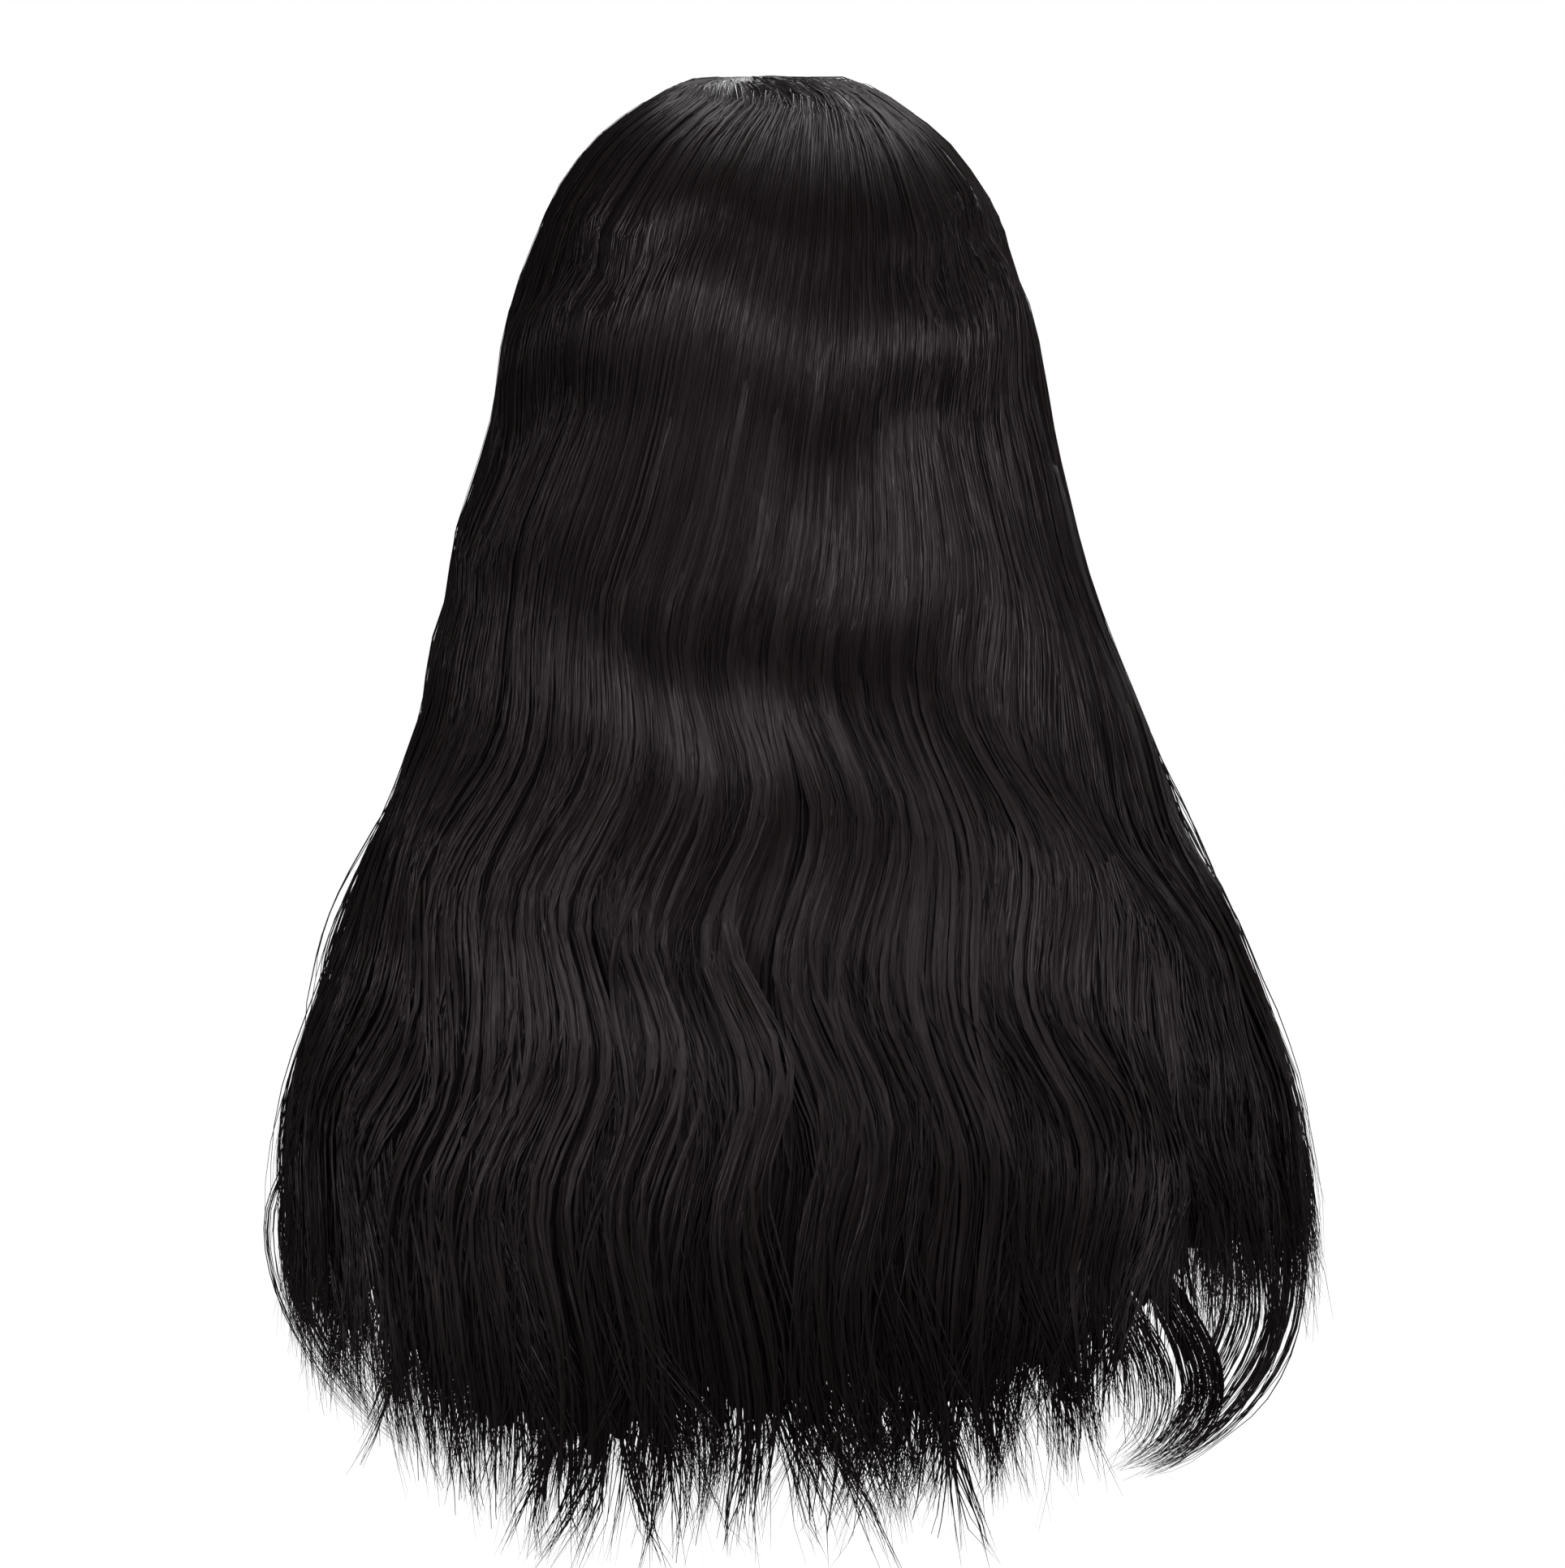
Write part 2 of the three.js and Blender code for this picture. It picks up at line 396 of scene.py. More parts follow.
def lock_guides(section, locks, layer, place):
    """Guides that follow a section's locks, for one layer of strands."""
    rng = np.random.default_rng(layer.seed + place)
    which = np.repeat(np.arange(section.locks), layer.per_lock)
    column = (len(which), 1)
    beside = rng.uniform(-1, 1, column)
    lock = Locks(*(values[which][:, None] for values in locks))
    even = lock.even + beside * 0.5 / section.locks
    root = root_fall(section, even)
    first = root + rng.uniform(*(layer.front_roots if section.is_front else layer.roots), column)
    last = hem_below(section, even).longest - lock.shorter - rng.uniform(*layer.ends, column)
    fall = lerp(first, last, np.linspace(0, 1, layer.points)[None, :] ** row_crowding(section))

    in_lock = lock.centre + lock.drift * smoothstep(*LOCKS_DRIFT, fall)
    in_lock = in_lock + beside * lock.half_width * lerp(1, DRAWN_IN, smoothstep(*LOCKS_DRAW_IN, fall))
    across = lerp(even, in_lock, parted(fall))

    start_depth = START_DEPTH * (1 - smoothstep(*START_RISES, fall - first))
    if section.is_front:
        at_crown = 1 - smoothstep(*PARTING_ROOTS, root)
        start_depth = start_depth * np.maximum(smoothstep(*STARTS_LOW, first - root), at_crown)
    depth = rng.uniform(*layer.depths, column) + root_dip(section, even, fall) + start_depth

    stray = lock.stray + rng.normal(0, GUIDE_STRAY, column)
    wanders = rng.random(column) < WANDERING_SHARE
    stray = stray + rng.normal(0, WANDERING_STRAY, column) * wanders
    aside = rng.normal(0, WANDERING_ASIDE, column) * wanders * smoothstep(*WANDERING_GROWS, fall)
    depth = depth + (lock.depth + LOCK_ROUNDING * beside**2) * parted(fall)
    depth = depth - WANDERING_LIFT * wanders * smoothstep(*LIFT_GROWS, fall)

    line, outward, sideways = hair_line(section, across, fall, depth, stray, lock.swing)
    line = line + sideways * aside[..., None]
    half_width = layer.spread * np.ones_like(fall)
    half_depth = lerp(SHEET_HALF_DEPTH, LOCK_HALF_DEPTH, parted(fall))
    return Guides(line, outward, sideways, half_width, half_depth)


# The thin ends of the hair hang in small clumps, which draw together and turn aside
Ends = namedtuple("Ends", "clumps per_clump points seed")
TIP_ENDS = Ends(22, 7, 8, 500)
WISP_ENDS = Ends(19, 5, 8, 600)
CLUMP_TURN = 32  # how far a clump's end turns aside at most, and how much its guides differ in it
GUIDE_TURN = 8
FRONT_TURN = 0.5  # share of the turn in the front sections
ENDS_LONGER = 16  # how far the longest ends hang below the hem's table
CLUMP_SHORTER = 26  # how much shorter whole clumps are at most, and single guides
CLUMP_SHORTER_POWER = 1.3
GUIDE_SHORTER = 36
CLUMP_DEPTHS = (0.08, 0.85)  # shares of the hair's thickness
GUIDE_DEPTHS = (-0.08, 0.08)
CLUMP_STRAY = 0.7
END_LENGTHS = (90, 160)
CLUMP_SPREAD = 0.6  # in clumps, and its shares at the start and at the end
SPREAD_START = 1.4
SPREAD_END = 0.5
END_HALF_WIDTHS = (3.0, 2.0)
END_HALF_DEPTHS = (2.0, 1.5)


def hem_guides(section, ends, place):
    """Short guides for the thin ends of a section's hair."""
    rng = np.random.default_rng(ends.seed + place)
    clumps = ends.clumps
    which = np.repeat(np.arange(clumps), ends.per_clump)
    column = (len(which), 1)
    along = np.linspace(0, 1, ends.points)[None, :]

    def for_guides(clump_values):
        return clump_values[which][:, None]

    clump_place = for_guides((np.arange(clumps) + rng.uniform(0, 1, clumps)) / clumps)
    turn = for_guides(rng.uniform(-CLUMP_TURN, CLUMP_TURN, clumps)) + rng.normal(0, GUIDE_TURN, column)
    if section.is_front:
        turn = FRONT_TURN * turn
    shorter = for_guides(CLUMP_SHORTER * rng.random(clumps) ** CLUMP_SHORTER_POWER)
    shorter = shorter + GUIDE_SHORTER * rng.random(column)
    deep = for_guides(rng.uniform(*CLUMP_DEPTHS, clumps)) + rng.uniform(*GUIDE_DEPTHS, column)
    stray = for_guides(rng.normal(0, CLUMP_STRAY, clumps))
    last = hem_below(section, clump_place).longest + ENDS_LONGER - shorter
    fall = lerp(last - rng.uniform(*END_LENGTHS, column), last, along)
    spread = rng.normal(0, CLUMP_SPREAD / clumps, column) * lerp(SPREAD_START, SPREAD_END, along)
    depth = deep * hair_form(fall).thickness
    line, outward, sideways = hair_line(section, clump_place + spread, fall, depth, stray)
    line = line + sideways * (turn * along**2)[..., None]
    half_width = lerp(*END_HALF_WIDTHS, along) * np.ones(column)
    half_depth = lerp(*END_HALF_DEPTHS, along) * np.ones(column)
    return Guides(line, outward, sideways, half_width, half_depth)


# Loose locks that stand off the rest: how many strands, how far they spread, and their line as (x, z)
LooseLock = namedtuple("LooseLock", "strands spread line")
LOOSE_LOCKS = {
    "left_loop": LooseLock(14, 6.0, [
        (-112, -205), (-119, -220), (-127, -234), (-134, -247), (-142, -263), (-148, -279), (-151, -296),
        (-152, -312), (-152, -330)]),
    "right_edge": LooseLock(8, 3.5, [
        (108, -178), (114, -190), (122, -204), (130, -220), (138, -236), (144, -250), (149, -265),
        (152, -281), (154, -298)]),
    "lower_right_edge": LooseLock(44, 6.0, [
        (160, -326), (168, -354), (172, -378), (168, -402), (156, -421), (138, -436), (120, -443)]),
    "lower_right_fall": LooseLock(60, 11.0, [
        (150, -345), (157, -372), (158, -395), (150, -414), (136, -430), (121, -439)]),
    "lower_right_curl": LooseLock(90, 7.0, [
        (116, -360), (129, -384), (139, -404), (141, -421), (130, -436), (114, -443)]),
    "lower_right_veil": LooseLock(40, 10.0, [
        (100, -366), (114, -392), (122, -411), (121, -428), (109, -441)]),
    "lower_left_edge": LooseLock(28, 6.0, [
        (-146, -316), (-157, -345), (-164, -366), (-161, -385), (-152, -403), (-140, -420),
        (-128, -433)]),
    "lower_left_fall": LooseLock(30, 9.0, [
        (-140, -336), (-152, -366), (-152, -385), (-143, -405), (-129, -424), (-114, -438)]),
}
LOOSE_POINTS = 20
LOOSE_HALF_DEPTH = 3
LOOSE_ENDS = (0.1, 0.9)  # where a half turn of the sine that draws a lock's ends in starts and stops
LOOSE_BACK = 0.6  # how far back loose locks lie, as a share of the form
HANGING_FALL = 90  # the fall of hanging hair is this much more than its depth below the origin


def loose_guides(lock):
    """One guide along a loose lock, which hangs further forward than the hair's back does."""
    rows = [(place, x, z) for place, (x, z) in enumerate(lock.line)]
    x, z = smooth_table(*rows)(np.linspace(0, len(rows) - 1, LOOSE_POINTS))
    form = hair_form(HANGING_FALL - z)
    sideways_share = (x - form.lean) / form.half_width
    y = -LOOSE_BACK * form.back * np.sqrt(np.clip(1 - sideways_share**2, 0, 1))
    line = np.stack([x, y, z], axis=-1)[None]
    along = unit(np.gradient(line, axis=1))
    outward = np.broadcast_to([0.0, -1.0, 0.0], line.shape)
    loosened = np.sin(np.pi * np.linspace(*LOOSE_ENDS, LOOSE_POINTS))[None]
    sideways = unit(np.cross(outward, along))
    return Guides(line, outward, sideways, lock.spread * loosened, LOOSE_HALF_DEPTH * loosened)


def guide_object(name, guides):
    """A mesh of loose polylines, one for each guide, which carries what the strand nodes read."""
    lines, points = guides.points.shape[:2]
    index = np.arange(lines * points).reshape(lines, points)
    edges = np.stack([index[:, :-1], index[:, 1:]], axis=-1).reshape(-1, 2)
    mesh = bpy.data.meshes.new(name)
    mesh.from_pydata((guides.points.reshape(-1, 3) * MM).tolist(), edges.tolist(), [])
    for key in ("outward", "sideways"):
        add_values(mesh, key, "FLOAT_VECTOR", "vector", getattr(guides, key))
    for key in ("half_width", "half_depth"):
        add_values(mesh, key, "FLOAT", "value", getattr(guides, key) * MM)
    piece = bpy.data.objects.new(name, mesh)
    bpy.context.scene.collection.objects.link(piece)
    return piece


# Nodes that turn guides into strands

STRAND_INPUTS = {
    "Strands per guide": "NodeSocketInt",
    "Strand half width": "NodeSocketFloat",
    "Strand half thickness": "NodeSocketFloat",
    "Taper from": "NodeSocketFloat",
    "Shortest share": "NodeSocketFloat",
    "Frizz": "NodeSocketFloat",
    "Frizz turns": "NodeSocketFloat",
    "Seed": "NodeSocketInt",
    "Hair": "NodeSocketMaterial",
}
NOISE_APART = 400.0  # how far apart in the noise strands take their frizz
NOISE_MEAN = (0.5, 0.5, 0.5)
FRIZZ_AT_ROOT = 0.14
FRIZZ_POWER = 2.5
THINNEST = 0.6  # shares of the given width and thickness: the range of strands, and a strand's end
THICKEST = 1.2
END_SIZE = 0.12
RING_POINTS = 3
RING_START = math.pi / 2  # one ring point faces outwards
RING_RADIUS = 1e-5  # before the ring is pushed out to the strand's width and thickness
AT_SIDE = 0.5  # ring points further aside than this make sharp edges
BOTH_AT_SIDE = 0.9  # which an edge's mean passes where both its points are at the side
SHADES_APART = 500.0  # how far apart across the hair material strands take their lines
STRIP_TURN = 0.1  # a strand's strip of the bake chart, with a margin at its side and its ends
STRIP_MARGIN = 0.1
STRIP_LENGTH = 0.98
STRIP_END = 0.01
WORKING_VALUES = [
    "strand_across", "strand_depth", "strand_share", "strand_index", "strand_along", "strand_size",
    "ring_turn", "at_side", "outward", "sideways", "half_width", "half_depth",
]


def vector_node(tree, operation, *values):
    inputs = dict(enumerate(values))
    return add_node(tree, "ShaderNodeVectorMath", inputs, operation=operation).outputs["Vector"]


def scaled(tree, vector, size):
    inputs = {"Vector": vector, "Scale": size}
    return add_node(tree, "ShaderNodeVectorMath", inputs, operation="SCALE").outputs["Vector"]


def named(tree, name, kind="FLOAT"):
    """The value that the geometry keeps under a name."""
    inputs = {"Name": name}
    return add_node(tree, "GeometryNodeInputNamedAttribute", inputs, data_type=kind).outputs["Attribute"]


def store(tree, geometry, name, value, domain="CURVE", kind="FLOAT"):
    """The geometry, with a value kept under a name."""
    inputs = {"Geometry": geometry, "Name": name, "Value": value}
    node = add_node(tree, "GeometryNodeStoreNamedAttribute", inputs, data_type=kind, domain=domain)
    return node.outputs["Geometry"]


def guide_offset(tree, to_side, to_outside):
    """A move along the guide's own sideways and outward directions."""
    aside = scaled(tree, named(tree, "sideways", "FLOAT_VECTOR"), to_side)
    outside = scaled(tree, named(tree, "outward", "FLOAT_VECTOR"), to_outside)
    return vector_node(tree, "ADD", aside, outside)


def copy_guides(tree, given):
    """A few strands for each guide, each with random numbers for its place, its length and its shade."""
    curves = add_node(tree, "GeometryNodeMeshToCurve", {"Mesh": given["Geometry"]}).outputs["Curve"]
    inputs = {"Geometry": curves, "Amount": given["Strands per guide"]}
    copies = add_node(tree, "GeometryNodeDuplicateElements", inputs, domain="SPLINE")
    strands = copies.outputs["Geometry"]
    index = add_node(tree, "GeometryNodeInputIndex").outputs["Index"]
    ranges = {
        "strand_across": (-1.0, 1.0),
        "strand_depth": (-1.0, 1.0),
        "strand_random": (0.0, 1.0),
        "strand_share": (given["Shortest share"], 1.0),
    }
    for draw, (name, (least, most)) in enumerate(ranges.items(), start=1):
        seed = math_node(tree, "ADD", given["Seed"], draw)
        # Places, not names: the node has sockets of these names for several kinds of value
        inputs = {2: least, 3: most, 7: index, 8: seed}
        number = add_node(tree, "FunctionNodeRandomValue", inputs, data_type="FLOAT").outputs[1]
        strands = store(tree, strands, name, number)
    return store(tree, strands, "strand_index", index)


def part_strands(tree, given, strands):
    """Moves strands to their places beside the guide and gives them frizz, which grows towards the ends."""
    factor = add_node(tree, "GeometryNodeSplineParameter").outputs["Factor"]
    to_side = math_node(tree, "MULTIPLY", named(tree, "half_width"), named(tree, "strand_across"))
    to_depth = math_node(tree, "MULTIPLY", named(tree, "half_depth"), named(tree, "strand_depth"))
    place = {
        "X": math_node(tree, "MULTIPLY", factor, given["Frizz turns"]),
        "Y": math_node(tree, "MULTIPLY", named(tree, "strand_random"), NOISE_APART),
        "Z": given["Seed"],
    }
    place = add_node(tree, "ShaderNodeCombineXYZ", place).outputs["Vector"]
    inputs = {"Vector": place, "Scale": 1.0, "Detail": 2.0}
    noise = add_node(tree, "ShaderNodeTexNoise", inputs).outputs["Color"]
    growth = math_node(tree, "ADD", math_node(tree, "POWER", factor, FRIZZ_POWER), FRIZZ_AT_ROOT)
    growth = math_node(tree, "MULTIPLY", growth, given["Frizz"])
    frizz = scaled(tree, vector_node(tree, "SUBTRACT", noise, NOISE_MEAN), growth)
    offset = vector_node(tree, "ADD", guide_offset(tree, to_side, to_depth), frizz)
    inputs = {"Geometry": strands, "Offset": offset}
    return add_node(tree, "GeometryNodeSetPosition", inputs).outputs["Geometry"]


def trim_strands(tree, given, strands):
    """Cuts strands to their lengths, and keeps the place along them and the size there."""
    inputs = {"Curve": strands, "End": named(tree, "strand_share")}
    strands = add_node(tree, "GeometryNodeTrimCurve", inputs, mode="FACTOR").outputs["Curve"]
    along = add_node(tree, "GeometryNodeSplineParameter").outputs
    strands = store(tree, strands, "strand_along", along["Factor"], "POINT")
    strands = store(tree, strands, "hair_along", math_node(tree, "DIVIDE", along["Length"], MM), "POINT")
    taper = {
        "Value": along["Factor"],
        "From Min": given["Taper from"],
        "From Max": 1.0,
        "To Min": 1.0,
        "To Max": END_SIZE,
    }
    taper = add_node(tree, "ShaderNodeMapRange", taper).outputs["Result"]
    size = {"Value": named(tree, "strand_random"), "To Min": THINNEST, "To Max": THICKEST}
    size = add_node(tree, "ShaderNodeMapRange", size).outputs["Result"]
    return store(tree, strands, "strand_size", math_node(tree, "MULTIPLY", size, taper), "POINT")


def strand_tubes(tree, given, strands):
    """Closed three-sided tubes along the strands, as wide and as thick as given."""
    inputs = {"Resolution": RING_POINTS, "Radius": 1.0}
    ring = add_node(tree, "GeometryNodeCurvePrimitiveCircle", inputs, mode="RADIUS").outputs["Curve"]
    index = add_node(tree, "GeometryNodeInputIndex").outputs["Index"]
    turn = math_node(tree, "MULTIPLY_ADD", index, 2 * math.pi / RING_POINTS, RING_START)
    ring = store(tree, ring, "ring_turn", turn, "POINT")
    inputs = {"Curve": strands, "Profile Curve": ring, "Scale": RING_RADIUS, "Fill Caps": True}
    tubes = add_node(tree, "GeometryNodeCurveToMesh", inputs).outputs["Mesh"]

    strand_size = named(tree, "strand_size")
    ring_turn = named(tree, "ring_turn")
    ring_side = math_node(tree, "COSINE", ring_turn)
    to_side = math_node(tree, "MULTIPLY", ring_side, given["Strand half width"])
    to_side = math_node(tree, "MULTIPLY", to_side, strand_size)
    ring_outside = math_node(tree, "SINE", ring_turn)
    to_outside = math_node(tree, "MULTIPLY", ring_outside, given["Strand half thickness"])
    to_outside = math_node(tree, "MULTIPLY", to_outside, strand_size)
    inputs = {"Geometry": tubes, "Offset": guide_offset(tree, to_side, to_outside)}
    tubes = add_node(tree, "GeometryNodeSetPosition", inputs).outputs["Geometry"]

    own_lines = math_node(tree, "MULTIPLY", named(tree, "strand_random"), SHADES_APART)
    across = math_node(tree, "ADD", math_node(tree, "DIVIDE", to_side, MM), own_lines)
    tubes = store(tree, tubes, "hair_across", across, "POINT")
    at_side = math_node(tree, "GREATER_THAN", math_node(tree, "ABSOLUTE", ring_side), AT_SIDE)
    return store(tree, tubes, "at_side", at_side, "POINT")


def shade_tubes(tree, tubes):
    """Smooth shading, with sharp edges along both sides of a strand."""
    tubes = add_node(tree, "GeometryNodeSetShadeSmooth", {"Geometry": tubes}).outputs["Geometry"]
    sharp = math_node(tree, "GREATER_THAN", named(tree, "at_side"), BOTH_AT_SIDE)
    inputs = {"Geometry": tubes, "Selection": sharp, "Shade Smooth": False}
    return add_node(tree, "GeometryNodeSetShadeSmooth", inputs, domain="EDGE").outputs["Geometry"]


def chart_tubes(tree, tubes, strands):
    """A strip of the bake chart for each strand."""
    sizes = add_node(tree, "GeometryNodeAttributeDomainSize", {"Geometry": strands}, component="CURVE")
    turned = math_node(tree, "MULTIPLY", named(tree, "ring_turn"), STRIP_TURN)
    column = math_node(tree, "ADD", named(tree, "strand_index"), turned)
    column = math_node(tree, "ADD", column, STRIP_MARGIN)
    column = math_node(tree, "DIVIDE", column, sizes.outputs["Spline Count"])
    row = math_node(tree, "MULTIPLY", named(tree, "strand_along"), STRIP_LENGTH)
    row = math_node(tree, "ADD", row, STRIP_END)
    chart = add_node(tree, "ShaderNodeCombineXYZ", {"X": column, "Y": row}).outputs["Vector"]
    return store(tree, tubes, "OFBake", chart, "CORNER", "FLOAT2")


def strand_tree():
    """Nodes that turn each guide into a few strands or flat ribbons of hair, as closed tubes."""
    tree = bpy.data.node_groups.new("strands_from_guides", "GeometryNodeTree")
    tree.interface.new_socket("Geometry", in_out="INPUT", socket_type="NodeSocketGeometry")
    for name, kind in STRAND_INPUTS.items():
        tree.interface.new_socket(name, in_out="INPUT", socket_type=kind)
    tree.interface.new_socket("Geometry", in_out="OUTPUT", socket_type="NodeSocketGeometry")
    given = tree.nodes.new("NodeGroupInput").outputs

    strands = copy_guides(tree, given)
    strands = part_strands(tree, given, strands)
    strands = trim_strands(tree, given, strands)
    tubes = strand_tubes(tree, given, strands)
    tubes = shade_tubes(tree, tubes)
    tubes = chart_tubes(tree, tubes, strands)
    for name in WORKING_VALUES:
        inputs = {"Geometry": tubes, "Name": name}
        tubes = add_node(tree, "GeometryNodeRemoveAttribute", inputs).outputs["Geometry"]
    tubes = add_node(tree, "GeometryNodeRealizeInstances", {"Geometry": tubes}).outputs["Geometry"]
    inputs = {"Geometry": tubes, "Material": given["Hair"]}
    tubes = add_node(tree, "GeometryNodeSetMaterial", inputs).outputs["Geometry"]
    add_node(tree, "NodeGroupOutput", {"Geometry": tubes})
    return tree


def grow_strands(name, guides, settings):
    """Runs the strand nodes on the guides and keeps the result as a plain mesh."""
    piece = guide_object(name, guides)
    modifier = piece.modifiers.new("strands", "NODES")
    modifier.node_group = STRAND_TREE
    for socket in STRAND_TREE.interface.items_tree:
        if socket.in_out == "INPUT" and socket.name in settings:
            modifier[socket.identifier] = settings[socket.name]
    graph = bpy.context.evaluated_depsgraph_get()
    made = bpy.data.meshes.new_from_object(
        piece.evaluated_get(graph), preserve_all_data_layers=True, depsgraph=graph
    )
    piece.modifiers.remove(modifier)
    piece.data = made
    made.name = name
    return piece


# The underlayer of each section, which fills the hair between and under the strands

UNDER_COLUMNS = 48
UNDER_ROWS = 72
INNER_SHORTER = 8

# Its ragged end: falls from the dense hair's hem, all short of it, in a few slow steps and at each column
RAGGED_STEPS = 15
RAGGED_SLOW = (-24, -6)
RAGGED_FINE = (-9, 0)

# Its depth below the outer form: in the sheet, in a lock, and in the grooves between locks
SHEET_DEPTH = 1.2
LOCK_DEPTH = 5.0
GROOVE_DEPTH = 3
GROOVE_REACH = 1.2  # in half widths of a lock
INNER_DEPTH = 0.9  # shares of the hair's thickness: the inner side, and the end where both sides meet
END_DEPTH = 0.55
END_WALL = 0.4  # what is left between them there, in millimetres
THINS_OUT = (0.78, 1)  # shares of its length

# Its places across the hair material and across the bake chart, outer side first
SECTION_WIDTH = 110
INNER_SHIFT = 2
OUTER_CHART = 0.8
INNER_CHART = 0.17
INNER_CHART_START = 0.82


def under_wall(section, locks, across, share, inside, seed):
    """Points and falls of the underlayer's outer or inner side, as far down as the hair is dense."""
    rng = np.random.default_rng(seed)
    columns = np.linspace(0, 1, UNDER_COLUMNS + 1)
    ragged = np.interp(columns, np.linspace(0, 1, RAGGED_STEPS), rng.uniform(*RAGGED_SLOW, RAGGED_STEPS))
    ragged = ragged + rng.uniform(*RAGGED_FINE, len(columns))
    end = hem_below(section, across[0]).dense + np.interp(across[0], columns, ragged)
    if inside:
        end = end - INNER_SHORTER
    fall = lerp(root_fall(section, across), end, share)
    thickness = hair_form(fall).thickness
    thin = smoothstep(*THINS_OUT, share)
    if inside:
        depth = lerp(INNER_DEPTH * thickness, END_DEPTH * thickness + END_WALL, thin)
    else:
        groove = np.min(np.abs(across[..., None] - locks.centre), axis=-1) * 2 * section.locks
        groove_depth = GROOVE_DEPTH * np.clip(groove, 0, GROOVE_REACH) ** 2 * parted(fall)
        depth = lerp(SHEET_DEPTH, LOCK_DEPTH, parted(fall)) + groove_depth + root_dip(section, across, fall)
        depth = lerp(depth, END_DEPTH * thickness, thin)
    return hair_line(section, across, fall, depth)[0], fall


def wall_faces(rows, around):
    """Quads round a wall of rows of points, which is closed across its first and its last row."""
    index = np.arange(rows * around).reshape(rows, around)
    ahead = np.roll(index, -1, axis=1)
    faces = np.stack([index[:-1], ahead[:-1], ahead[1:], index[1:]], axis=-1).reshape(-1, 4).tolist()
    for column in range(UNDER_COLUMNS):
        closing = [column, column + 1, around - 2 - column, around - 1 - column]
        faces.append([index[0, corner] for corner in reversed(closing)])
        faces.append([index[-1, corner] for corner in closing])
    return faces


def shade_wall(mesh, around):
    """Smooth shading, with sharp edges down the wall's four corners."""
    edges = np.empty(2 * len(mesh.edges), np.int32)
    mesh.edges.foreach_get("vertices", edges)
    column = edges.reshape(-1, 2) % around
    corners = (0, UNDER_COLUMNS, UNDER_COLUMNS + 1, around - 1)
    at_corner = (column[:, 0] == column[:, 1]) & np.isin(column[:, 0], corners)
    mesh.attributes.new("sharp_edge", "BOOLEAN", "EDGE").data.foreach_set("value", at_corner)
    mesh.polygons.foreach_set("use_smooth", np.ones(len(mesh.polygons), bool))


def chart_wall(mesh, points):
    """The bake chart of the wall, from the chart's place of each of its points."""
    corner = np.empty(len(mesh.loops), np.int32)
    mesh.loops.foreach_get("vertex_index", corner)
    chart = mesh.uv_layers.new(name="OFBake")
    chart.uv.foreach_set("vector", points.reshape(-1, 2)[corner].astype(np.float32).ravel())


def under_piece(section, locks, seed):
    """The underlayer of a section as one closed wall, with each point's place across and along the hair."""
    shares = np.linspace(0, 1, UNDER_ROWS + 1) ** row_crowding(section)
    outer_across, outer_share = np.meshgrid(np.linspace(0, 1, UNDER_COLUMNS + 1), shares)
    inner_across, inner_share = np.meshgrid(np.linspace(1, 0, UNDER_COLUMNS + 1), shares)
    outer, outer_fall = under_wall(section, locks, outer_across, outer_share, False, seed)
    inner, inner_fall = under_wall(section, locks, inner_across, inner_share, True, seed)
    loop = np.concatenate([outer, inner], axis=1)
    rows, around = loop.shape[:2]
    mesh = bpy.data.meshes.new(section.name)
    mesh.from_pydata((loop.reshape(-1, 3) * MM).tolist(), [], wall_faces(rows, around))
    shade_wall(mesh, around)
    across = np.concatenate([outer_across, inner_across + INNER_SHIFT], axis=1) * SECTION_WIDTH
    add_values(mesh, "hair_across", "FLOAT", "value", across)
    add_values(mesh, "hair_along", "FLOAT", "value", np.concatenate([outer_fall, inner_fall], axis=1))
    inner_chart = INNER_CHART_START + INNER_CHART * (1 - inner_across)
    chart_across = np.concatenate([outer_across * OUTER_CHART, inner_chart], axis=1)
    chart_along = np.concatenate([outer_share, inner_share], axis=1)
    chart_wall(mesh, np.stack([chart_across, chart_along], axis=-1))
    piece = bpy.data.objects.new(section.name + "_underlayer", mesh)
    bpy.context.scene.collection.objects.link(piece)
    return piece


# Materials

DEEP_BLACK = (0.0070, 0.0050, 0.0055, 1)
SOFT_BLACK = (0.0098, 0.0070, 0.0075, 1)
BROWN_BLACK = (0.0140, 0.0098, 0.0095, 1)
ROSE_SHEEN = (1.0, 0.87, 0.91, 1)
LINE_STRETCH = 0.02  # how slowly lines change along the hair
FINE_LINES = 1.7  # about how many for each millimetre across it
BROAD_LINES = 0.4
BROAD_WEIGHT = 1.6
OWN_SHADE = 0.45  # how far strands differ in shade

LACE_THREAD = (0.10, 0.058, 0.034, 1)
LACE_CELL = (0.038, 0.022, 0.014, 1)
LACE_CELLS = 900.0  # for each metre

WHITE = (1, 1, 1, 1)
FLOOR_GREY = (0.3, 0.3, 0.3, 1)


def new_material(name, finish):
    """A material with its tree and its shader, whose inputs are set to the finish."""
    material = bpy.data.materials.new(name)
    material.use_nodes = True
    shader = material.node_tree.nodes["Principled BSDF"]
    for key, value in finish.items():
        shader.inputs[key].default_value = value
    return material, material.node_tree, shader


def colour_ramp(tree, value, *stops):
    """The colour at a value, through stops of (position, colour)."""
    node = add_node(tree, "ShaderNodeValToRGB", {"Fac": value})
    elements = node.color_ramp.elements
    first, *between, last = stops
    for element, (position, colour) in zip(elements, (first, last)):
        element.position = position
        element.color = colour
    for position, colour in between:
        elements.new(position).color = colour
    return node.outputs["Color"]


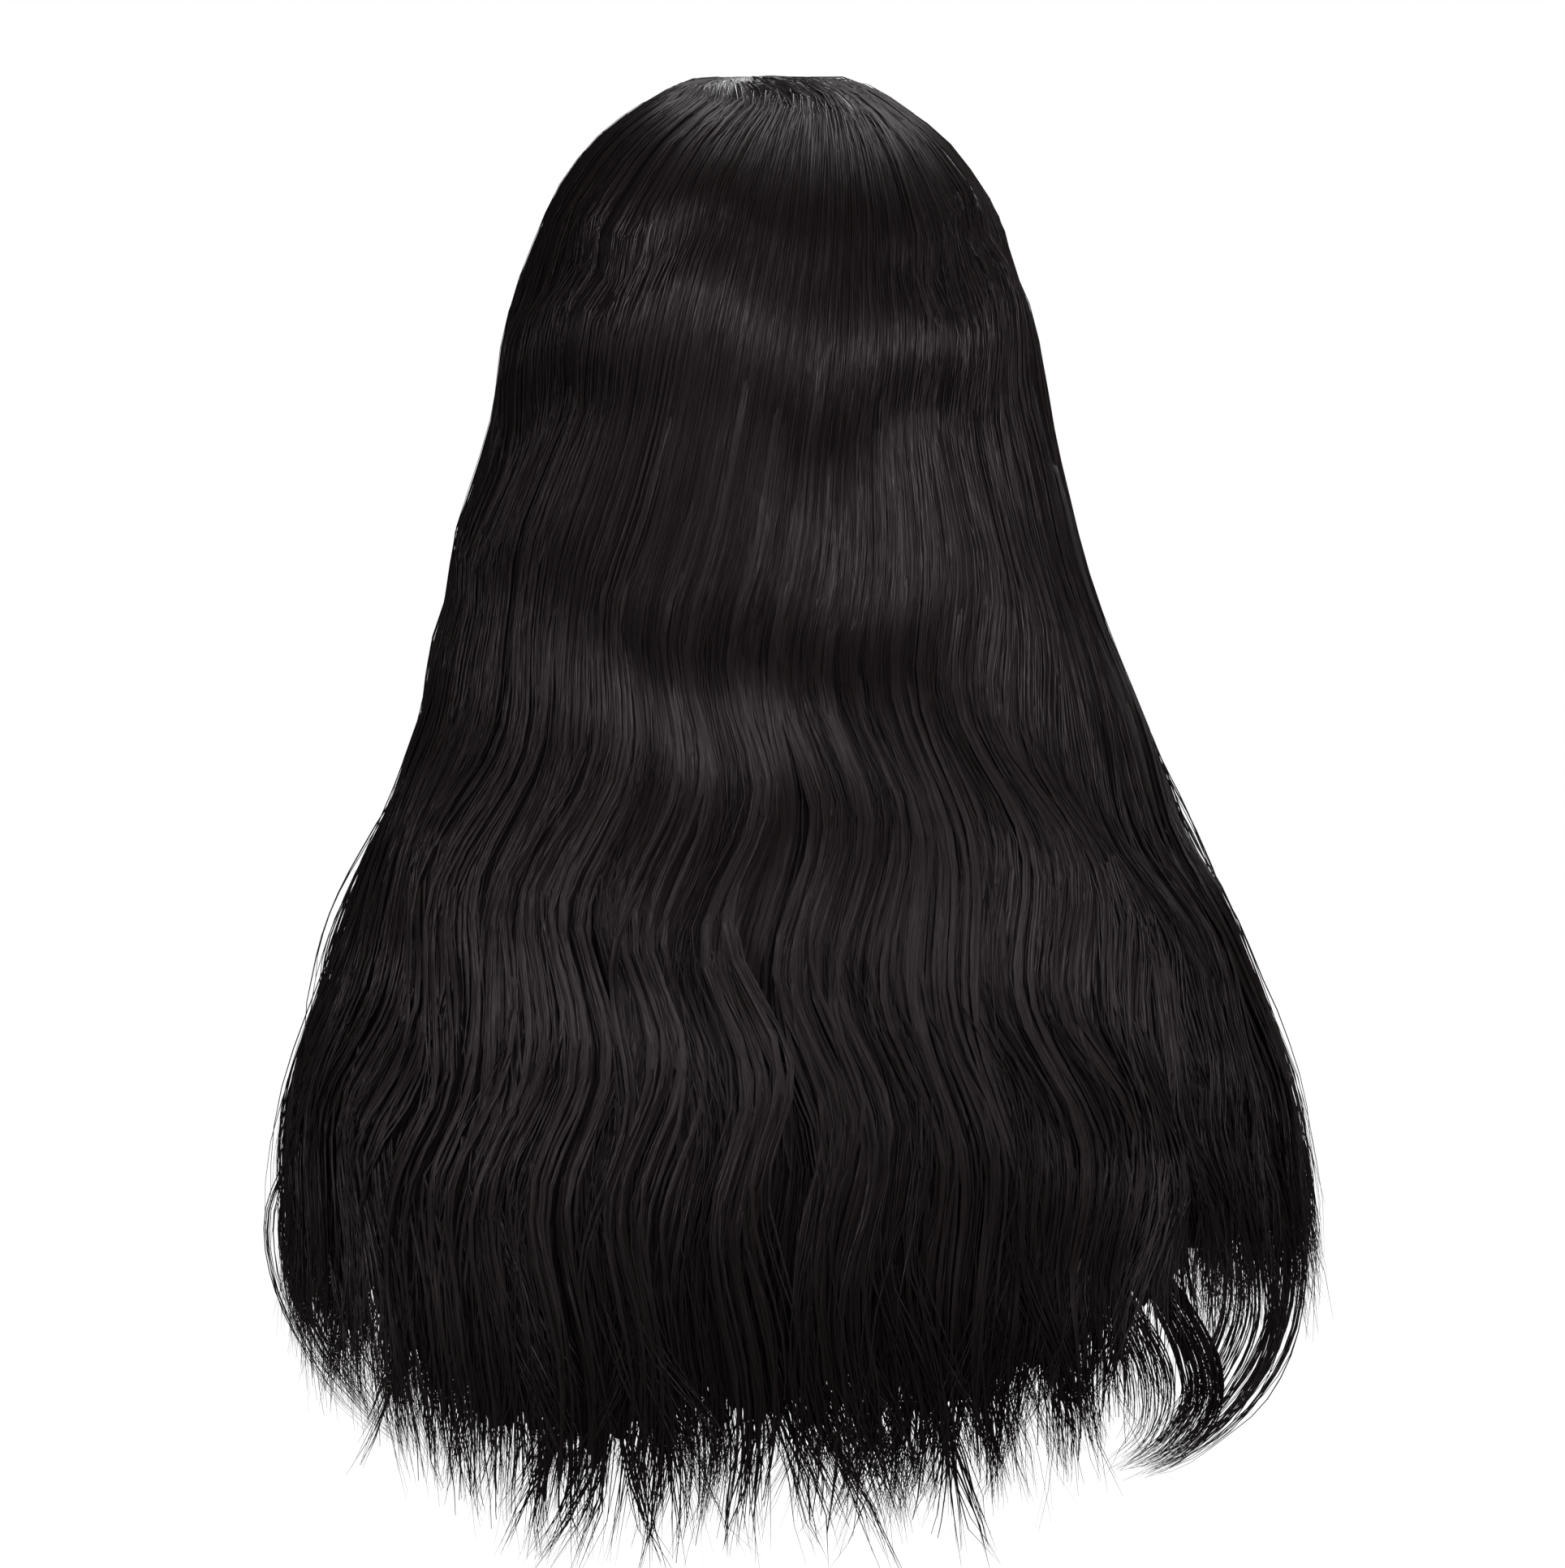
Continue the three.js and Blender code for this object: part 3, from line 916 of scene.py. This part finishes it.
def hair_material():
    """Near-black hair: fine lines along the flow, and strands from a deep to a brownish black."""
    finish = {"Roughness": 0.38, "Specular IOR Level": 0.3, "Specular Tint": ROSE_SHEEN}
    material, tree, shader = new_material("black_hair", finish)

    def kept(name):
        return add_node(tree, "ShaderNodeAttribute", attribute_name=name).outputs["Fac"]

    slow = math_node(tree, "MULTIPLY", kept("hair_along"), LINE_STRETCH)
    inputs = {"X": kept("hair_across"), "Y": slow}
    place = add_node(tree, "ShaderNodeCombineXYZ", inputs).outputs["Vector"]
    inputs = {"Vector": place, "Scale": FINE_LINES, "Detail": 3.0}
    fine = add_node(tree, "ShaderNodeTexNoise", inputs).outputs["Fac"]
    inputs = {"Vector": place, "Scale": BROAD_LINES, "Detail": 2.0}
    broad = add_node(tree, "ShaderNodeTexNoise", inputs).outputs["Fac"]
    shade = math_node(tree, "MULTIPLY_ADD", kept("strand_random"), OWN_SHADE, fine)
    colour = colour_ramp(tree, shade, (0.3, DEEP_BLACK), (0.75, SOFT_BLACK), (1.0, BROWN_BLACK))
    tree.links.new(colour, shader.inputs["Base Color"])
    lines = math_node(tree, "MULTIPLY_ADD", broad, BROAD_WEIGHT, fine)
    bump = add_node(tree, "ShaderNodeBump", {"Height": lines, "Strength": 0.6, "Distance": 0.0009})
    tree.links.new(bump.outputs["Normal"], shader.inputs["Normal"])
    return material


def lace_material():
    """Fine brown net: raised threads round darker cells, which are about a millimetre across."""
    material, tree, shader = new_material("brown_lace", {"Roughness": 0.85})
    place = add_node(tree, "ShaderNodeTexCoord").outputs["Object"]
    inputs = {"Vector": place, "Scale": LACE_CELLS}
    cells = add_node(tree, "ShaderNodeTexVoronoi", inputs, feature="DISTANCE_TO_EDGE").outputs["Distance"]
    colour = colour_ramp(tree, cells, (0.08, LACE_THREAD), (0.22, LACE_CELL))
    tree.links.new(colour, shader.inputs["Base Color"])
    inputs = {"Height": cells, "Strength": 0.5, "Distance": 0.0004}
    bump = add_node(tree, "ShaderNodeBump", inputs, invert=True)
    tree.links.new(bump.outputs["Normal"], shader.inputs["Normal"])
    return material


# The hair and the cap, piece by piece

HAIR = hair_material()
LACE = lace_material()
STRAND_TREE = strand_tree()

LOCK_SEED = 100
UNDER_SEED = 200
LOOSE_SEED = 900
SEEDS_PER_SECTION = 10

# Kinds of strand: copies is for each guide, taper_from and shortest are shares of the length
Strand = namedtuple("Strand", "copies half_width half_thickness taper_from shortest frizz frizz_turns")
FINE_STRAND = Strand(3, 0.26, 0.2, 0.85, 0.94, 6.0, 7.0)
RIBBON = Strand(2, 1.3, 0.3, 0.6, 0.95, 7.0, 7.0)
TIP = Strand(7, 0.36, 0.25, 0.7, 0.93, 22.0, 3.4)
WISP = Strand(4, 0.2, 0.17, 0.6, 0.85, 23.0, 3.4)
LOOSE_STRAND = Strand(1, 0.24, 0.2, 0.6, 0.8, 14.0, 2.6)


def hair_settings(strand, seed):
    """A kind of strand as inputs of the strand nodes."""
    return {
        "Strands per guide": strand.copies,
        "Strand half width": strand.half_width * MM,
        "Strand half thickness": strand.half_thickness * MM,
        "Taper from": strand.taper_from,
        "Shortest share": strand.shortest,
        "Frizz": strand.frizz * MM,
        "Frizz turns": strand.frizz_turns,
        "Seed": seed,
        "Hair": HAIR,
    }


for place, section in enumerate(SECTIONS):
    locks = section_locks(section, LOCK_SEED + place)
    under = under_piece(section, locks, UNDER_SEED + place)
    under.data.materials.append(HAIR)
    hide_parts(section.name)

    dressing = [
        ("strands", lock_guides(section, locks, FINE_LAYER, place), FINE_STRAND),
        ("locks", lock_guides(section, locks, RIBBON_LAYER, place), RIBBON),
        ("tips", hem_guides(section, TIP_ENDS, place), TIP),
        ("wisps", hem_guides(section, WISP_ENDS, place), WISP),
    ]
    pieces = [under]
    for kind, (ending, guides, strand) in enumerate(dressing):
        settings = hair_settings(strand, SEEDS_PER_SECTION * place + kind)
        pieces.append(grow_strands(f"{section.name}_{ending}", guides, settings))
    for piece in pieces:
        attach(piece, "root")

for place, (name, lock) in enumerate(LOOSE_LOCKS.items()):
    settings = hair_settings(LOOSE_STRAND._replace(copies=lock.strands), LOOSE_SEED + place)
    piece = grow_strands(name + "_strands", loose_guides(lock), settings)
    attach(piece, "root")

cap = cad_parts["lace_cap"]
cap.data.materials.clear()
cap.data.materials.append(LACE)


# Floor, light and camera, in metres

FLOOR_Z = -0.62
FLOOR_HALF = 6
CORNERS = ((-1, -1), (1, -1), (1, 1), (-1, 1))

# The room and the floor are white to look at and dim to light the hair, so that the lamps draw its sheen
SEEN_WHITE = 1.0
FLOOR_GLOW = 0.03
ROOM_GLOW = 0.035

# spread is in degrees and power in watts
Lamp = namedtuple("Lamp", "name place target width height spread power")
LAMPS = [
    Lamp("key", (0.3, -1.7, 0.5), (0, 0, 0.02), 1.2, 0.28, 42, 1.9),
    Lamp("left_fill", (-1.5, -0.9, 0.05), (-0.1, 0, -0.42), 0.5, 0.4, 30, 0.36),
    Lamp("right_fill", (1.5, -0.9, 0.05), (0.1, 0, -0.42), 0.5, 0.4, 30, 0.2),
    Lamp("top", (0.15, 0.45, 1.25), (0, 0, 0), 0.9, 1.0, 80, 2.4),
    Lamp("front", (0.75, 1.65, 0.6), (0, 0, -0.2), 1.2, 0.6, 50, 2.4),
]

# The photograph shows 0.27 mm a pixel at the head, from a little above and some way off
MM_PER_PIXEL = 0.27
FRAME_PIXELS = 1932
CAMERA_DISTANCE = 2.4
ELEVATION = math.radians(5)
AIM = (0.0038, 0, -0.2215)
SENSOR_WIDTH = 36


def look_from(place, target):
    """The turn that makes a lamp or a camera at a place look at a target."""
    x, y, z = (t - p for p, t in zip(place, target))
    return (math.atan2(math.hypot(x, y), -z), 0, math.atan2(-x, y))


def seen_or_lit(tree, lit):
    """A brightness that is white for what the camera looks at, and lit for the light on the hair."""
    looked_at = add_node(tree, "ShaderNodeLightPath").outputs["Is Camera Ray"]
    inputs = {"Value": looked_at, "To Min": lit, "To Max": SEEN_WHITE}
    return add_node(tree, "ShaderNodeMapRange", inputs).outputs["Result"]


def add_floor():
    mesh = bpy.data.meshes.new("floor")
    corners = [(FLOOR_HALF * x, FLOOR_HALF * y, FLOOR_Z) for x, y in CORNERS]
    mesh.from_pydata(corners, [], [(0, 1, 2, 3)])
    finish = {
        "Base Color": FLOOR_GREY,
        "Roughness": 0.9,
        "Specular IOR Level": 0.0,
        "Emission Color": WHITE,
    }
    material, tree, shader = new_material("pale_floor", finish)
    tree.links.new(seen_or_lit(tree, FLOOR_GLOW), shader.inputs["Emission Strength"])
    mesh.materials.append(material)
    floor = bpy.data.objects.new("floor", mesh)
    bpy.context.scene.collection.objects.link(floor)
    return floor


def add_room():
    world = bpy.data.worlds.new("studio")
    world.use_nodes = True
    room = world.node_tree.nodes["Background"]
    room.inputs["Color"].default_value = WHITE
    world.node_tree.links.new(seen_or_lit(world.node_tree, ROOM_GLOW), room.inputs["Strength"])
    bpy.context.scene.world = world
    bpy.context.scene.view_settings.view_transform = "Standard"


def add_lamp(lamp):
    data = bpy.data.lights.new(lamp.name, "AREA")
    data.shape = "RECTANGLE"
    data.size = lamp.width
    data.size_y = lamp.height
    data.spread = math.radians(lamp.spread)
    data.energy = lamp.power
    light = bpy.data.objects.new(lamp.name, data)
    light.location = lamp.place
    light.rotation_euler = look_from(lamp.place, lamp.target)
    bpy.context.scene.collection.objects.link(light)


def add_camera():
    data = bpy.data.cameras.new("camera")
    data.sensor_width = SENSOR_WIDTH
    data.lens = SENSOR_WIDTH * CAMERA_DISTANCE / (MM_PER_PIXEL * MM * FRAME_PIXELS)
    camera = bpy.data.objects.new("camera", data)
    back = CAMERA_DISTANCE * math.cos(ELEVATION)
    up = CAMERA_DISTANCE * math.sin(ELEVATION)
    camera.location = (AIM[0], AIM[1] - back, AIM[2] + up)
    camera.rotation_euler = look_from(camera.location, AIM)
    bpy.context.scene.collection.objects.link(camera)
    bpy.context.scene.camera = camera


floor = add_floor()
add_room()
for lamp in LAMPS:
    add_lamp(lamp)
add_camera()
